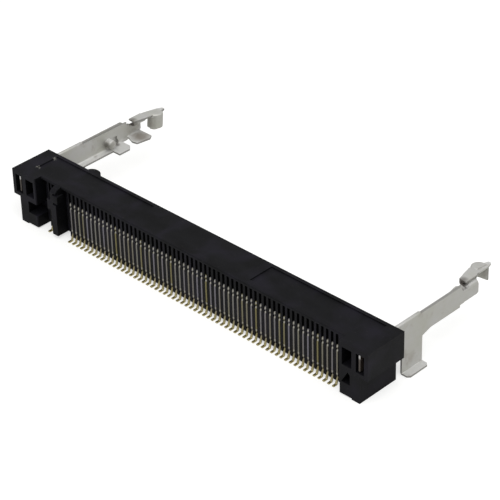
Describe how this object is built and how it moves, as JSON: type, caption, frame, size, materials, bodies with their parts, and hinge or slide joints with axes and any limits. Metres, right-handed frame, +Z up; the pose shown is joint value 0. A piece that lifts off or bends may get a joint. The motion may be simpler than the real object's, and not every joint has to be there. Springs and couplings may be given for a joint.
{
  "type": "small-outline card edge socket",
  "caption": "Low right-angle card edge socket: black moulded housing with two rows of sprung contacts and a folded sheet-metal latch arm at each end.",
  "frame": {"origin": "centre of the part's box, on the board surface that the feet stand on", "axes": "+X along the contact rows, +Y from the housing towards the latch heads, the way the card leaves, +Z up from the board"},
  "size_m": [0.0642, 0.0262, 0.0078],
  "materials": {
    "housing_plastic": "matt moulded, glass-filled",
    "latch_steel": "satin plated sheet",
    "contact_alloy": "satin plated copper alloy"
  },
  "bodies": {
    "housing_body": {"housing": "housing_plastic", "rear_contacts_01": "contact_alloy", "rear_contacts_02": "contact_alloy", "rear_contacts_03": "contact_alloy", "rear_contacts_04": "contact_alloy", "rear_contacts_05": "contact_alloy", "rear_contacts_06": "contact_alloy", "rear_contacts_07": "contact_alloy", "rear_contacts_08": "contact_alloy", "rear_contacts_09": "contact_alloy", "rear_contacts_10": "contact_alloy", "rear_contacts_11": "contact_alloy", "rear_contacts_12": "contact_alloy", "rear_contacts_13": "contact_alloy", "front_contacts_01": "contact_alloy", "front_contacts_02": "contact_alloy", "front_contacts_03": "contact_alloy", "front_contacts_04": "contact_alloy", "front_contacts_05": "contact_alloy", "front_contacts_06": "contact_alloy", "front_contacts_07": "contact_alloy", "front_contacts_08": "contact_alloy", "front_contacts_09": "contact_alloy", "front_contacts_10": "contact_alloy", "front_contacts_11": "contact_alloy", "front_contacts_12": "contact_alloy", "front_contacts_13": "contact_alloy"},
    "right_latch_body": {"right_latch": "latch_steel"},
    "left_latch_body": {"left_latch": "latch_steel"}
  },
  "joints": [
    {"name": "right_latch_spread", "type": "hinge", "parent": "housing_body", "child": "right_latch_body", "pos_m": [0.03068, -0.00965, 0.0058], "axis": [0, 0, -1], "range_deg": [0, 3], "stiffness_Nm_per_rad": 1},
    {"name": "left_latch_spread", "type": "hinge", "parent": "housing_body", "child": "left_latch_body", "pos_m": [-0.03068, -0.00965, 0.0058], "axis": [0, 0, 1], "range_deg": [0, 3], "stiffness_Nm_per_rad": 1}
  ]
}
